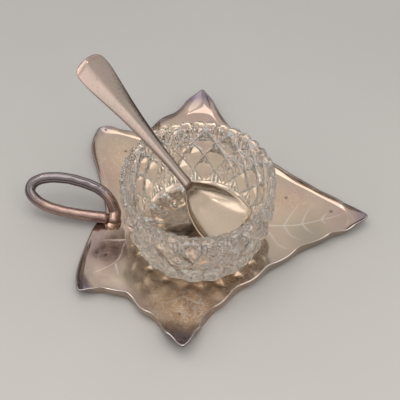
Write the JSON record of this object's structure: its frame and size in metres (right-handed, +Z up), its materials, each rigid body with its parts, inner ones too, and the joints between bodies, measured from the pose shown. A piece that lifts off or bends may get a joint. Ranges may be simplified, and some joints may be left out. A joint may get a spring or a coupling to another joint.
{
  "type": "salt cellar",
  "caption": "Table salt: a cut glass dish standing loose on a leaf-shaped plated tray with a wire loop handle, and a salt spoon resting in the dish.",
  "frame": {"origin": "on the table under the middle of the glass dish", "axes": "+X along the leaf towards its long tip, away from the handle; +Z up"},
  "size_m": [0.1133, 0.1074, 0.0503],
  "materials": {
    "leaf_plate": "stamped silver plate, warm and tarnished",
    "wire_plate": "drawn wire, silver plate worn to a copper blush",
    "solder": "dull soft solder",
    "cut_glass": "clear cut glass",
    "spoon_plate": "silver plate, worn satin"
  },
  "bodies": {
    "tray": {"leaf_tray": "leaf_plate", "loop_handle": "wire_plate", "solder_bead": "solder"},
    "dish": {"glass_dish": "cut_glass"},
    "spoon": {"salt_spoon": "spoon_plate"}
  },
  "joints": [
    {"name": "dish_lift", "type": "slide", "parent": "tray", "child": "dish", "axis": [0, 0, 1], "range_m": [0, 0.05]},
    {"name": "spoon_lift", "type": "slide", "parent": "dish", "child": "spoon", "axis": [0, 0, 1], "range_m": [0, 0.06]}
  ]
}
